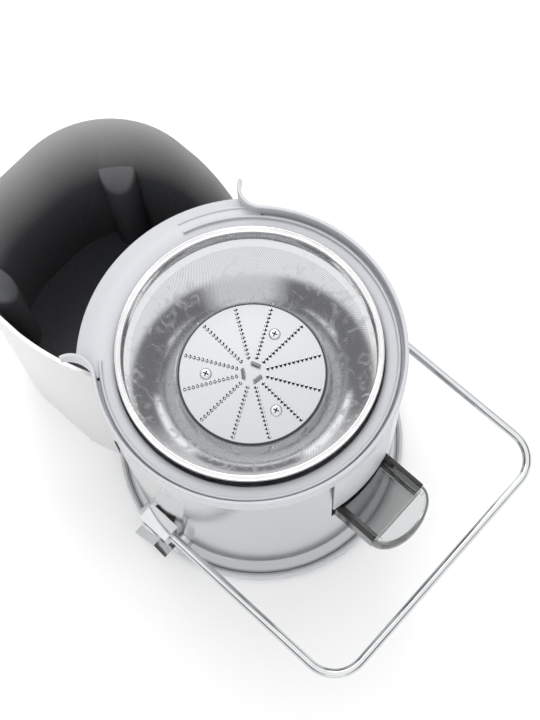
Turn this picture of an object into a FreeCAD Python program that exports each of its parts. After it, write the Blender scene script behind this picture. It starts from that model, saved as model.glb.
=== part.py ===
import FreeCAD, Part
import os
import re
import Sketcher

# Centrifugal juicer with its lid off: motor base, lift-out filter bowl with a turning basket, pulp container
# on the left, spout on the right and a locking arm hinged at front and back.
# Frame: origin on the motor axis at table level, +X towards the spout, -Y towards the user, +Z up.

SIZES = {
    # gaps between pieces, the overlap of joined shapes, and the reach of a tool that cuts right through
    "fit_gap": 0.02, "shaft_gap": 0.05, "seat_gap": 0.1, "slip_gap": 0.3, "run_gap": 0.5, "lap": 1,
    "far": 240,
    # steel body shell: a cylinder whose foot flares out over the base ring
    "body_radius": 92.5, "body_wall": 1.5, "body_top": 187.5, "flare_out": 5, "flare_rise": 18,
    "slot_margin": 2,
    # base ring, bottom plate and feet
    "base_step": 3.5, "base_width": 14, "base_low": 3, "base_height": 9, "base_edge": 1.5,
    "plate_low": 4, "plate_thick": 2.5, "foot_radius": 8, "foot_inset": 5,
    "vent_width": 3, "vent_pitch": 9, "vent_inset": 24, "vent_length": 26, "vents_aside": 3,
    # screws, the frame posts and the motor deck that they carry
    "screw_radius": 1.8, "screw_head": 3.4, "screw_cap": 1.8, "screw_length": 12, "screws_turn": 45,
    "post_radius": 4, "post_inset": 5, "deck_low": 103, "deck_thick": 3,
    "seal_wall": 4, "seal_flange": 4, "seal_height": 3,
    # motor brackets, bearings, bolts and mounts
    "shaft_radius": 4, "bearing_radius": 11, "bearing_height": 6.5, "bearing_lip": 1.5, "boss_wall": 3.5,
    "bracket_low": 9, "bracket_thick": 4, "bracket_side": 14, "bracket_foot": 27, "foot_half": 4,
    "bolt_radius": 2, "bolt_inset": 3, "bolt_edge": 6, "bolt_head": 3.4, "bolt_cap": 1.8,
    "mount_height": 1.5, "mount_radius": 4.7,
    # stator, commutator and brushes, armature and fan
    "commutator_radius": 11, "commutator_lift": 3.5, "commutator_height": 11, "bar_groove": 0.4,
    "bar_count": 16, "brush_half": 3, "brush_length": 16, "holder_wall": 2, "yoke_thick": 1.5,
    "yoke_reach": 30, "yoke_half": 8,
    "core_gap": 9, "armature_radius": 22, "air_gap": 0.6, "stator_radius": 42, "stator_flat": 5,
    "winding_height": 7, "winding_inset": 3.5, "coil_inset": 5, "coil_gap": 3, "coil_from": 30,
    "coil_sweep": 120,
    "fan_radius": 31, "fan_gap": 1.5, "fan_height": 4.5, "fan_plate": 1, "fan_hub": 8, "fan_blades": 12,
    "blade_thick": 1.2,
    # drive coupling: a hexagon on a round flange
    "coupling_lift": 6, "coupling_height": 33, "coupling_foot": 4, "coupling_hex": 13, "coupling_flange": 17,
    # filter bowl: vessel with a centre chimney, lip with a seal groove, chute and wings on the left
    "bowl_lift": 9, "bowl_floor": 3, "bowl_gap": 1.5, "bowl_wall": 2.8, "lip_over": 0.5, "lip_rise": 12.5,
    "lip_wall": 2.4, "groove_depth": 3.5, "groove_width": 1.8, "ridge_width": 1.8, "ridge_rise": 2.2,
    "flange_rise": 4.5, "flange_thick": 2.5, "chimney_gap": 6, "chimney_wall": 3, "chimney_rise": 3,
    "skirt_gap": 0.6, "skirt_over": 0.7, "seal_lip": 1.2, "seal_rise": 2.5,
    "chute_reach": 11, "chute_drop": 4.5, "chute_half": 52.5, "chute_step": 1.5, "chute_lift": 2,
    "ridge_from": 160, "ridge_sweep": 65,
    "wing_turn": 51.6, "wing_radius": 14.5, "wing_wall": 2.6, "wing_start": 48, "wing_sweep": 110,
    "wing_drop": 1.5,
    # juice spout with its sliding hood
    "spout_half": 24, "spout_reach": 27.5, "spout_drop": 6, "spout_height": 16.8, "spout_wall": 3,
    "spout_floor": 2.5, "ledge_width": 3.2, "ledge_drop": 5, "outlet_inset": 6.5,
    "hood_reach": 14.7, "hood_inset": 0.6, "hood_wall": 1.8, "hood_lift": 1, "hood_drop": 0.2,
    "rail_width": 2.4,
    "rail_height": 3.2, "rail_length": 21, "rail_root": 3,
    # basket: rim, collar, mesh cone, base with a hexagonal hub
    "rim_inset": 10.5, "rim_width": 4, "rim_height": 4, "rim_edge": 1, "collar_height": 8, "collar_wall": 1.2,
    "mesh_wall": 0.9, "pan_margin": 3, "pan_step": 1.1, "pan_lift": 8,
    "pan_thick": 2.5, "hub_wall": 5, "hub_lap": 7, "ring_gap": 3, "ring_wall": 1.8, "ring_drop": 9,
    # grating disc with its rows of teeth, screws and centre blades
    "disc_radius": 45, "disc_thick": 1.3, "tooth_height": 1.4, "tooth_root": 0.2, "tooth_length": 1.2,
    "tooth_width": 2.2, "tooth_first": 9.3, "tooth_pitch": 2.72, "tooth_rows": 12, "tooth_count": 13,
    "rows_turn": -3, "disc_screw_ring": 28.5, "disc_screw_turn": 103.5, "disc_screw_head": 3.4,
    "disc_screw_shank": 1.95, "disc_screw_rise": 0.9, "blade_ring": 6.5, "blade_length": 3, "blade_turn": 110,
    # pulp container
    "box_inset": 10.5, "box_reach": 114.5, "box_flat": 12, "box_drop": 15.5, "box_wall": 2.5, "box_gap": 0.8,
    "notch_gap": 1.5, "notch_top": 33, "front_reach": 20, "side_radius": 173, "side_flare": 3.5,
    "side_back": 37.5, "side_over": 0.3,
    "grip_radius": 13, "grip_top": 105, "grip_turn": 43.5, "grip_slope": 52,
    # locking arm with its blocks, pins and bushes, and the interlock plunger and switch
    "rod_radius": 3, "rod_drop": 21, "rod_out": 7.5, "rod_ahead": 25.3, "rod_bend": 22, "pivot_x": 4,
    "block_back": 9, "block_front": 14, "block_half": 6.2, "block_rise": 8, "pin_radius": 5, "pin_depth": 8.5,
    "pin_cap": 6.6, "pin_cap_height": 1.2, "bush_radius": 8, "bush_depth": 4.3, "bush_proud": 0.6,
    "plunger_radius": 2.2, "plunger_length": 10, "plunger_travel": 3,
    "switch_width": 16, "switch_depth": 9, "switch_height": 12,
    # control knob with its bar handle, bezel and rotary switch
    "bezel_radius": 21, "bezel_lift": 1, "bezel_out": 7, "bezel_depth": 10.5, "bezel_wall": 2,
    "dial_radius": 18.5,
    "dial_thick": 3, "bar_half": 6.2, "bar_reach": 18.2, "bar_out": 11, "knob_turn": 38, "stem_radius": 3,
    "stem_depth": 9.5, "pot_half": 9, "pot_depth": 8, "pot_gap": 6, "strut_half": 4,
    # control board and cord gland
    "board_half": 26, "board_low": 9, "board_top": 52, "board_gap": 20.5, "board_thick": 1.6, "clip_half": 4,
    "clip_wall": 3, "clip_rise": 6, "clip_place": 18.2,
    "gland_x": 24, "gland_radius": 8, "gland_bore": 3.6, "gland_neck": 6, "gland_room": 5, "gland_depth": 8.5,
    "gland_out": 8.5, "gland_collar": 10.5, "gland_collar_wall": 2.5,
}

# Sizes that follow the ones above.
FOLLOWS = {
    "wall_in": "body_radius - body_wall",
    "flare_radius": "body_radius + flare_out",
    "base_radius": "flare_radius + base_step",
    "base_bore": "base_radius - base_width",
    "base_top": "base_low + base_height",
    "plate_top": "plate_low + plate_thick",
    "foot_ring": "base_bore - foot_radius - foot_inset",
    "vent_ring": "base_bore - vent_inset - vent_length / 2",
    "screw_bore": "screw_radius + seat_gap",
    "post_ring": "wall_in - post_radius - post_inset",
    "deck_top": "deck_low + deck_thick",
    "deck_bore": "shaft_radius + seal_wall",
    "bracket_top": "deck_low - mount_height",
    "low_bearing": "bracket_low + bracket_thick + run_gap",
    "low_boss": "low_bearing + bearing_height + run_gap",
    "top_bearing": "bracket_top - bearing_height - bearing_lip",
    "bearing_pocket": "bearing_radius + fit_gap",
    "bolt_place": "stator_radius - bolt_inset",
    "bolt_bore": "bolt_radius + seat_gap",
    "bracket_half": "bolt_place + bolt_edge",
    "commutator_low": "low_boss + commutator_lift",
    "commutator_top": "commutator_low + commutator_height",
    "brush_height": "commutator_low + commutator_height / 2",
    "core_low": "commutator_top + core_gap",
    "fan_low": "top_bearing - fan_height - fan_gap",
    "core_top": "fan_low - fan_gap - winding_height",
    "on_shaft": "shaft_radius + fit_gap",
    "coupling_low": "deck_top + coupling_lift",
    "coupling_top": "coupling_low + coupling_height",
    "hub_radius": "coupling_hex + hub_wall",
    "chimney_bore": "hub_radius + chimney_gap",
    "chimney_out": "chimney_bore + chimney_wall",
    "chimney_top": "coupling_top + chimney_rise",
    "bowl_low": "deck_top + bowl_lift",
    "floor_top": "bowl_low + bowl_floor",
    "bowl_radius": "wall_in - bowl_gap",
    "bowl_bore": "bowl_radius - bowl_wall",
    "bowl_seat": "body_top + slip_gap",
    "lip_radius": "body_radius + lip_over",
    "lip_top": "body_top + lip_rise",
    "lip_bore": "lip_radius - lip_wall",
    "groove_bore": "lip_bore - groove_width",
    "groove_low": "ridge_top - groove_depth",
    "ridge_bore": "groove_bore - ridge_width",
    "ridge_top": "flange_top + ridge_rise",
    "flange_top": "body_top + flange_rise",
    "flange_bore": "rim_radius + chute_step",
    "chute_radius": "body_radius + chute_reach",
    "chute_inner": "body_radius + chute_step",
    "chute_start": "180 - chute_half",
    "wing_place": "lip_radius - lip_wall / 2 + wing_radius",
    "wing_x": "-wing_place * cos(wing_turn)",
    "wing_y": "wing_place * sin(wing_turn)",
    "wing_low": "body_top - wing_drop",
    "slot_half": "spout_half + slot_margin",
    "slot_low": "spout_low - lap",
    "skirt_half": "slot_half - skirt_gap",
    "skirt_radius": "body_radius + skirt_over",
    "skirt_low": "spout_top + skirt_over",
    "spout_low": "bowl_low - spout_drop",
    "spout_top": "spout_low + spout_height",
    "spout_end": "body_radius + spout_reach",
    "channel_half": "spout_half - spout_wall",
    "ledge_top": "spout_top - ledge_drop",
    "outlet_half": "spout_half - outlet_inset",
    "hood_back": "spout_end + slip_gap",
    "hood_end": "spout_end + hood_reach",
    "hood_half": "spout_half - hood_inset",
    "hood_low": "spout_low + hood_lift",
    "hood_top": "spout_top - hood_drop",
    "rail_out": "channel_half - slip_gap",
    "rail_low": "ledge_top + slip_gap",
    "rail_start": "spout_end - rail_length",
    "rim_radius": "bowl_radius - rim_inset",
    "rim_bore": "rim_radius - rim_width",
    "rim_low": "lip_top - rim_height",
    "collar_low": "rim_low - collar_height",
    "mesh_head": "rim_bore + mesh_wall",
    "pan_radius": "disc_radius + pan_margin",
    "pan_low": "coupling_top + pan_lift",
    "mesh_foot": "pan_radius - pan_step",
    "ring_bore": "chimney_out + ring_gap",
    "hub_low": "coupling_top - hub_lap",
    "disc_low": "pan_low + pan_thick",
    "disc_top": "disc_low + disc_thick",
    "box_half": "body_radius - box_inset",
    "box_back": "body_radius + box_reach",
    "box_corner": "box_half - box_flat",
    "box_top": "body_top - box_drop",
    "corner_x": "box_corner - box_back",
    "front_radius": "body_radius + box_gap",
    "side_x": "-(body_radius + side_back)",
    "side_y": "side_radius - box_half - side_over",
    "notch_radius": "base_radius + notch_gap",
    "grip_ring": "box_corner - box_wall",
    "grip_x": "corner_x - grip_ring * cos(grip_turn)",
    "grip_y": "box_flat + grip_ring * sin(grip_turn)",
    "rod_height": "deck_low - rod_drop",
    "rod_side": "body_radius + rod_out",
    "rod_end": "hood_end + rod_ahead",
    "block_end": "pivot_x + block_front",
    "block_in": "rod_side - block_half",
    "block_out": "rod_side + block_half",
    "pin_inner": "body_radius - pin_depth",
    "plunger_inner": "pin_inner - run_gap",
    "bezel_face": "body_radius + bezel_out",
    "knob_height": "base_top + bezel_radius + bezel_lift",
    "dial_face": "bezel_face - bezel_wall + run_gap",
    "bar_face": "bezel_face + bar_out",
    "pot_out": "body_radius - pot_gap",
    "stem_inner": "body_radius - stem_depth",
    "board_back": "body_radius - board_gap",
    "board_face": "board_back + board_thick",
    "gland_height": "knob_height",
    "gland_in": "body_radius - gland_depth",
    "gland_end": "body_radius + gland_out",
}

doc = FreeCAD.newDocument("juicer")
sheet = doc.addObject("Spreadsheet::Sheet", "Sizes")
for row, (alias, size) in enumerate(SIZES.items(), start=1):
    sheet.set(f"A{row}", alias)
    sheet.set(f"B{row}", str(size))
    sheet.setAlias(f"B{row}", alias)
doc.recompute()

WORD = re.compile(r"[a-z][a-z0-9_]*")
NODES = {}


def spelt(word):
    name = word.group()
    if name in FOLLOWS:
        return "(" + bound(FOLLOWS[name]) + ")"
    return "Sizes." + name if name in SIZES else name


def bound(text):
    """An expression whose size names point at the sheet."""
    return WORD.sub(spelt, str(text))


def number(text):
    return float(sheet.evalExpression(bound(text)))


def bind(thing, **properties):
    for name, text in properties.items():
        thing.setExpression(name.replace("__", "."), bound(text))
    return thing


def node(name, thing):
    """Keep a finished sub-part under the name of its file."""
    thing.Label = name
    NODES[name] = thing
    return thing


ALONG = {
    "z": FreeCAD.Rotation(),
    "x": FreeCAD.Rotation(FreeCAD.Vector(0, 1, 0), 90),
    "y": FreeCAD.Rotation(FreeCAD.Vector(1, 0, 0), -90),
}
TURN_Y = FreeCAD.Rotation(FreeCAD.Vector(0, 1, 0), 1)
TURN_Z = FreeCAD.Rotation(FreeCAD.Vector(0, 0, 1), 1)


def place(thing, x="0", y="0", z="0", rotation=None, turn=None):
    """Put a shape at bound places; turn is a bound angle about the rotation's axis."""
    thing.Placement = FreeCAD.Placement(FreeCAD.Vector(), rotation or ALONG["z"])
    if turn is not None:
        bind(thing, Placement__Rotation__Angle=turn)
    return bind(thing, Placement__Base__x=x, Placement__Base__y=y, Placement__Base__z=z)


def rod(radius, start, end, x="0", y="0", z="0", along="z"):
    """A cylinder between two places on its axis."""
    thing = bind(doc.addObject("Part::Cylinder", "rod"), Radius=radius, Height=f"({end}) - ({start})")
    at = {"x": x, "y": y, "z": z}
    at[along] = start
    return place(thing, at["x"], at["y"], at["z"], ALONG[along])


def hole(radius, **where):
    """A round tool that cuts right through."""
    return rod(radius, "-far", "far", **where)


def slice_of(radius, low, high, start, sweep, x="0", y="0"):
    """A sector of a cylinder about an upright axis, from one angle and over a sweep in degrees."""
    thing = bind(doc.addObject("Part::Cylinder", "slice"), Radius=radius, Angle=sweep)
    return place(bind(thing, Height=f"({high}) - ({low})"), x, y, low, TURN_Z, start)


def cone(low_radius, high_radius, low, high, x="0", y="0"):
    thing = bind(doc.addObject("Part::Cone", "cone"), Radius1=low_radius, Radius2=high_radius)
    return place(bind(thing, Height=f"({high}) - ({low})"), x, y, low)


def prism(radius, low, high):
    """A hexagonal bar about the motor axis."""
    thing = bind(doc.addObject("Part::Prism", "hexagon"), Circumradius=radius, Height=f"({high}) - ({low})")
    thing.Polygon = 6
    return place(thing, z=low)


def box(x_low, x_high, y_low, y_high, z_low, z_high):
    thing = bind(
        doc.addObject("Part::Box", "box"),
        Length=f"({x_high}) - ({x_low})", Width=f"({y_high}) - ({y_low})", Height=f"({z_high}) - ({z_low})",
    )
    return place(thing, x_low, y_low, z_low)


def spoke(start, length, thick, low, high, angle):
    """A bar that stands out from the axis at an angle, as a fan blade or a tooth does."""
    thing = bind(doc.addObject("Part::Box", "spoke"), Length=length, Width=thick)
    bind(thing, Height=f"({high}) - ({low})")
    return place(
        thing, f"({start}) * cos({angle}) + ({thick}) / 2 * sin({angle})",
        f"({start}) * sin({angle}) - ({thick}) / 2 * cos({angle})", low, TURN_Z, angle,
    )


def less(base, *tools):
    tool = tools[0] if len(tools) == 1 else joined(*tools)
    thing = doc.addObject("Part::Cut", "less")
    thing.Base = base
    thing.Tool = tool
    return thing


def joined(*shapes):
    thing = doc.addObject("Part::MultiFuse", "joined")
    thing.Shapes = list(shapes)
    return thing


def common(*shapes):
    thing = doc.addObject("Part::MultiCommon", "common")
    thing.Shapes = list(shapes)
    return thing


def group(*shapes):
    """Separate solids that share one node, such as screws."""
    thing = doc.addObject("Part::Compound", "group")
    thing.Links = list(shapes)
    return thing


def tube(outer, inner, start, end, **where):
    return less(rod(outer, start, end, **where), hole(inner, **where))


def arc_wall(outer, inner, low, high, start, sweep, x="0", y="0"):
    """An upright curved wall: part of a ring."""
    return less(slice_of(outer, low, high, start, sweep, x, y), hole(inner, x=x, y=y))


def span(side, near, far):
    """The low and high ends of a stretch on the +1 or the -1 side."""
    return (near, far) if side == 1 else (f"-({far})", f"-({near})")


def sketch_on(body, role, name):
    sketch = body.newObject("Sketcher::SketchObject", name)
    plane = next(feature for feature in body.Origin.OriginFeatures if feature.Role == role)
    sketch.AttachmentSupport = [(plane, "")]
    sketch.MapMode = "FlatFace"
    return sketch


def pin_to(sketch, line, kind, axis, text, size, name):
    """Hold one corner of an outline at a size from the sheet."""
    if size == 0:
        sketch.addConstraint(Sketcher.Constraint("PointOnObject", line, 1, axis))
        return
    index = sketch.addConstraint(Sketcher.Constraint(kind, -1, 1, line, 1, size))
    sketch.renameConstraint(index, name)
    sketch.setExpression(f"Constraints.{name}", bound(text))


def outline_in(sketch, corners):
    places = [FreeCAD.Vector(number(across), number(up), 0) for across, up in corners]
    count = len(places)
    for i in range(count):
        sketch.addGeometry(Part.LineSegment(places[i], places[(i + 1) % count]), False)
    for i in range(count):
        sketch.addConstraint(Sketcher.Constraint("Coincident", i, 2, (i + 1) % count, 1))
    for i, (across, up) in enumerate(corners):
        pin_to(sketch, i, "DistanceX", -2, across, places[i].x, f"across{i}")
        pin_to(sketch, i, "DistanceY", -1, up, places[i].y, f"up{i}")


def turned(*corners):
    """A body of revolution about Z from corners given as radius and height."""
    body = doc.addObject("PartDesign::Body", "turned")
    sketch = sketch_on(body, "XZ_Plane", "outline")
    outline_in(sketch, corners)
    spin = body.newObject("PartDesign::Revolution", "spin")
    spin.Profile = sketch
    spin.ReferenceAxis = (sketch, ["V_Axis"])
    spin.Angle = 360
    return body


def around(count, radius, make, first="0"):
    """Copies on a circle: make is given each copy's x and y."""
    copies = []
    for i in range(count):
        angle = f"({first}) + 360 * {i} / {count}"
        copies.append(make(f"({radius}) * cos({angle})", f"({radius}) * sin({angle})"))
    return copies


# ---------------------------------------------------------------- base
# A moulded ring, a vented plate let into it, and four rubber feet.
node("base_ring", turned(
    ("base_bore", "base_low"), ("base_radius - base_edge", "base_low"),
    ("base_radius", "base_low + base_edge"), ("base_radius", "base_top - lap"),
    ("base_radius - lap", "base_top"), ("base_bore", "base_top"),
))
vents = []
for side in (-1, 1):
    x_low, x_high = span(side, "vent_ring - vent_length / 2", "vent_ring + vent_length / 2")
    for i in range(-int(number("vents_aside")), int(number("vents_aside")) + 1):
        middle = f"{i} * vent_pitch"
        near, far = f"{middle} - vent_width / 2", f"{middle} + vent_width / 2"
        vents.append(box(x_low, x_high, near, far, "0", "far"))
plate_holes = around(4, "post_ring", lambda x, y: hole("screw_bore", x=x, y=y), "screws_turn")
node("bottom_plate", less(rod("base_bore - fit_gap", "plate_low", "plate_top"), *vents, *plate_holes))
feet = around(4, "foot_ring", lambda x, y: rod("foot_radius", "0", "plate_low", x=x, y=y))
node("rubber_feet", group(*feet))

# Four cast posts stand on the plate and carry the motor deck; each takes a screw at both ends.
node("frame_posts", group(*around(4, "post_ring", lambda x, y: less(
    rod("post_radius", "plate_top", "deck_low", x=x, y=y),
    rod("screw_bore", "0", "plate_top + screw_length", x=x, y=y),
    rod("screw_bore", "deck_low - screw_length", "deck_top", x=x, y=y),
), "screws_turn")))
node("bottom_screws", group(*around(4, "post_ring", lambda x, y: joined(
    rod("screw_radius", "plate_low - run_gap", "plate_top + screw_length - lap", x=x, y=y),
    rod("screw_head", "plate_low - screw_cap", "plate_low - fit_gap", x=x, y=y),
), "screws_turn")))

# ---------------------------------------------------------------- body shell
# One drawn steel sleeve with a slot for the spout, and holes for the pivots, the knob's stem and the gland.
shell = turned(
    ("flare_radius", "base_top"), ("body_radius", "base_top + flare_rise"), ("body_radius", "body_top"),
    ("wall_in", "body_top"), ("wall_in", "base_top + flare_rise"), ("flare_radius - body_wall", "base_top"),
)
node("body_shell", less(
    shell,
    box("body_radius / 2", "far", "-slot_half", "slot_half", "slot_low", "far"),
    rod("stem_radius + lap", "-far", "0", z="knob_height", along="y"),
    rod("gland_radius + seat_gap", "0", "far", x="gland_x", z="gland_height", along="y"),
    hole("bush_radius + seat_gap", x="pivot_x", z="rod_height", along="y"),
))

# The deck closes the motor space under the bowl; a lip seal keeps juice out of it at the shaft.
node("motor_deck", less(
    rod("wall_in - slip_gap", "deck_low", "deck_top"), hole("deck_bore"),
    *around(4, "post_ring", lambda x, y: hole("screw_bore", x=x, y=y), "screws_turn"),
))
node("deck_screws", group(*around(4, "post_ring", lambda x, y: joined(
    rod("screw_radius", "deck_low - screw_length + lap", "deck_top + run_gap", x=x, y=y),
    rod("screw_head", "deck_top + fit_gap", "deck_top + screw_cap", x=x, y=y),
), "screws_turn")))
node("shaft_seal", turned(
    ("shaft_radius + slip_gap", "deck_low + run_gap"), ("deck_bore - fit_gap", "deck_low + run_gap"),
    ("deck_bore - fit_gap", "deck_top + fit_gap"), ("deck_bore + seal_flange", "deck_top + fit_gap"),
    ("deck_bore + seal_flange", "deck_top + seal_height"),
    ("shaft_radius + slip_gap", "deck_top + seal_height"),
))

# ---------------------------------------------------------------- motor, fixed parts
# Two cast brackets hold the bearings, with the stator bolted between them and rubber mounts under the deck.


def bracket(low, high):
    return box("-bracket_half", "bracket_half", "-bracket_side", "bracket_side", low, high)


def bolt_holes():
    return [hole("bolt_bore", x="bolt_place"), hole("bolt_bore", x="-bolt_place")]


node("motor_lower_bracket", less(
    joined(
        bracket("bracket_low", "bracket_low + bracket_thick"),
        rod("bearing_pocket + boss_wall", "bracket_low", "low_boss"),
        box("-bracket_foot", "bracket_foot", "-foot_half", "foot_half", "plate_top", "bracket_low + lap"),
    ),
    rod("bearing_pocket", "low_bearing - seat_gap", "far"), *bolt_holes(),
))
node("motor_upper_bracket", less(
    joined(
        bracket("bracket_top - bracket_thick", "bracket_top"),
        rod("bearing_pocket + boss_wall", "top_bearing", "bracket_top"),
    ),
    rod("bearing_pocket", "0", "top_bearing + bearing_height + seat_gap"),
    hole("shaft_radius + lap"), *bolt_holes(),
))
for name, low in (("lower_bearing", "low_bearing"), ("upper_bearing", "top_bearing")):
    node(name, tube("bearing_radius", "shaft_radius + shaft_gap", low, f"{low} + bearing_height"))
stator_side = "stator_radius - stator_flat"
node("stator_core", less(
    common(
        rod("stator_radius", "core_low", "core_top"),
        box("-stator_radius", "stator_radius", f"-({stator_side})", stator_side, "core_low", "core_top"),
    ),
    hole("armature_radius + air_gap"), *bolt_holes(),
))
coils = []
for low in ("core_low - winding_height", "core_top"):
    for side in (0, 180):
        coils.append(arc_wall(
            "stator_radius - coil_inset", "armature_radius + coil_gap", low, f"{low} + winding_height",
            f"{side} + coil_from", "coil_sweep",
        ))
node("stator_coils", group(*coils))
node("motor_bolts", group(*[
    joined(
        rod("bolt_radius", "bracket_low - bolt_cap + seat_gap", "bracket_top + lap", x=at),
        rod("bolt_head", "bracket_low - bolt_cap", "bracket_low - fit_gap", x=at),
    )
    for at in ("bolt_place", "-bolt_place")
]))
node("motor_mounts", group(*[
    rod("mount_radius", "bracket_top", "deck_low", x=f"{side} * bracket_foot", y=f"{way} * bracket_side / 2")
    for side in (-1, 1) for way in (-1, 1)
]))

# Two carbon brushes slide in holders that stand on the lower bracket.
brushes = []
holders = []
for side in (-1, 1):
    near, far = span(side, "commutator_radius + slip_gap", "commutator_radius + slip_gap + brush_length")
    brushes.append(box(
        near, far, "-brush_half", "brush_half", "brush_height - brush_half", "brush_height + brush_half",
    ))
    holders.append(less(
        box(f"{near} + {side} * holder_wall", f"{far} + {side} * holder_wall", "-brush_half - holder_wall",
            "brush_half + holder_wall", "low_boss", "brush_height + brush_half + holder_wall"),
        box("-far", "far", "-brush_half - fit_gap", "brush_half + fit_gap",
            "brush_height - brush_half - fit_gap", "brush_height + brush_half + fit_gap"),
    ))
node("brush_holders", joined(*holders, less(
    box("-yoke_reach", "yoke_reach", "-yoke_half", "yoke_half", "low_boss", "low_boss + yoke_thick"),
    hole("shaft_radius + holder_wall + lap"),
)))
node("carbon_brushes", group(*brushes))

# ---------------------------------------------------------------- rotor
# Shaft with the armature, commutator and fan pressed on, and the drive coupling at its top.
node("rotor_shaft", rod("shaft_radius", "low_bearing + seat_gap", "coupling_top + lap"))
node("armature_core", tube("armature_radius", "on_shaft", "core_low", "core_top"))
node("armature_windings", group(
    tube("armature_radius - winding_inset", "on_shaft", "core_low - winding_height", "core_low"),
    tube("armature_radius - winding_inset", "on_shaft", "core_top", "core_top + winding_height"),
))
bar_grooves = around(int(number("bar_count")), "commutator_radius", lambda x, y: hole("bar_groove", x=x, y=y))
bars = tube("commutator_radius", "on_shaft", "commutator_low", "commutator_top")
node("commutator", less(bars, *bar_grooves))
fan_top = "fan_low + fan_height"
node("cooling_fan", less(
    joined(
        rod("fan_radius", "fan_low", "fan_low + fan_plate"), rod("fan_hub", "fan_low", fan_top),
        *[
            spoke(
                "fan_hub - lap", "fan_radius - fan_hub", "blade_thick", "fan_low", fan_top,
                f"{i} * 360 / fan_blades",
            )
            for i in range(int(number("fan_blades")))
        ],
    ),
    hole("on_shaft"),
))
node("drive_coupling", less(
    joined(
        rod("coupling_flange", "coupling_low", "coupling_low + coupling_foot"),
        prism("coupling_hex", "coupling_low + coupling_foot", "coupling_top"),
    ),
    hole("on_shaft"),
))

# ---------------------------------------------------------------- filter bowl
# A round vessel whose lip sits on the body shell, with a ring groove for the lid inside the lip.
vessel = turned(
    ("chimney_bore", "bowl_low"), ("bowl_radius", "bowl_low"), ("bowl_radius", "bowl_seat"),
    ("lip_radius", "bowl_seat"), ("lip_radius", "lip_top - lap"), ("lip_radius - lap", "lip_top"),
    ("lip_bore", "lip_top"), ("lip_bore", "groove_low"),
    ("groove_bore", "groove_low"), ("groove_bore", "ridge_top"),
    ("ridge_bore", "ridge_top"), ("ridge_bore", "flange_top"), ("flange_bore", "flange_top - lap"),
    ("flange_bore", "flange_top - flange_thick"), ("bowl_bore", "flange_top - flange_thick"),
    ("bowl_bore", "floor_top"), ("chimney_out", "floor_top"),
    ("chimney_out", "chimney_top"), ("chimney_bore", "chimney_top"),
)
# On the left the lip opens into a chute that runs out over the container, between two curved wings.
chute = common(
    turned(
        ("bowl_bore", "bowl_seat"), ("chute_inner", "bowl_seat"),
        ("chute_radius", "bowl_seat - chute_drop + chute_lift"), ("chute_radius", "flange_top - chute_drop"),
        ("chute_inner", "flange_top - lap"), ("bowl_bore", "flange_top"),
    ),
    slice_of("far", "0", "far", "chute_start", "2 * chute_half"),
)
wings = []
wing_hollows = []
for side, start in ((1, "-wing_start - wing_sweep"), (-1, "wing_start")):
    wings.append(less(
        arc_wall(
            "wing_radius + wing_wall / 2", "wing_radius - wing_wall / 2", "wing_low", "lip_top", start,
            "wing_sweep", "wing_x", f"{side} * wing_y",
        ),
        rod("body_radius + slip_gap", "0", "bowl_seat"),
    ))
    wing_hollows.append(hole("wing_radius", x="wing_x", y=f"{side} * wing_y"))
lip_gap = arc_wall("far", "lip_bore", "flange_top - run_gap", "far", "chute_start", "2 * chute_half")
ridge_gap = arc_wall("lip_bore + lap", "ridge_bore", "flange_top", "far", "ridge_from", "ridge_sweep")
groove_fill = arc_wall(
    "lip_bore + lap", "groove_bore - lap", "flange_top - flange_thick - run_gap", "flange_top", "ridge_from",
    "ridge_sweep",
)
# On the right a skirt closes the shell's slot above the spout.
skirt = common(
    tube("skirt_radius", "bowl_radius - lap", "skirt_low", "flange_top"),
    box("body_radius / 2", "far", "-skirt_half", "skirt_half", "skirt_low", "flange_top"),
)
node("filter_bowl", less(
    joined(less(vessel, lip_gap, ridge_gap), groove_fill, less(chute, *wing_hollows), skirt, *wings),
    box("body_radius / 2", "far", "-outlet_half", "outlet_half", "floor_top", "spout_top - lap"),
))
node("bowl_centre_seal", tube(
    "chimney_out + seal_lip", "chimney_bore - lap", "chimney_top + fit_gap", "chimney_top + seal_rise",
))

# ---------------------------------------------------------------- spout and hood
# An open channel with a ledge along each wall; the hood's two rails slide on the ledges.
ledge_half = "channel_half - ledge_width"
node("juice_spout", less(
    box("body_radius / 2", "spout_end", "-spout_half", "spout_half", "spout_low", "spout_top"),
    hole("bowl_radius + shaft_gap"),
    box("0", "far", "-channel_half", "channel_half", "ledge_top", "far"),
    box("0", "far", f"-({ledge_half})", ledge_half, "spout_low + spout_floor", "far"),
))


def nose_of(inset, low, high):
    """The half-round plan of the hood, drawn in by an inset."""
    oval = bind(
        doc.addObject("Part::Ellipse", "oval"), MajorRadius=f"hood_half - ({inset})",
        MinorRadius=f"hood_end - hood_back - ({inset})",
    )
    oval.Placement = FreeCAD.Placement(FreeCAD.Vector(), FreeCAD.Rotation(FreeCAD.Vector(0, 0, 1), 90))
    bind(oval, Placement__Base__x="hood_back", Placement__Base__z=low)
    column = bind(doc.addObject("Part::Extrusion", "column"), LengthFwd=f"({high}) - ({low})")
    column.Base = oval
    column.DirMode = "Custom"
    column.Dir = FreeCAD.Vector(0, 0, 1)
    column.Solid = True
    return common(column, box("hood_back", "far", "-far", "far", low, high))


rails = []
for side in (-1, 1):
    low, high = span(side, "rail_out - rail_width", "rail_out")
    rails.append(box("rail_start", "hood_back + rail_root", low, high, "rail_low", "rail_low + rail_height"))
nose = nose_of("0", "hood_low", "hood_top")
node("spout_hood", joined(
    less(nose, nose_of("hood_wall", "hood_low - lap", "hood_top - hood_wall")), *rails,
))

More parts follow.
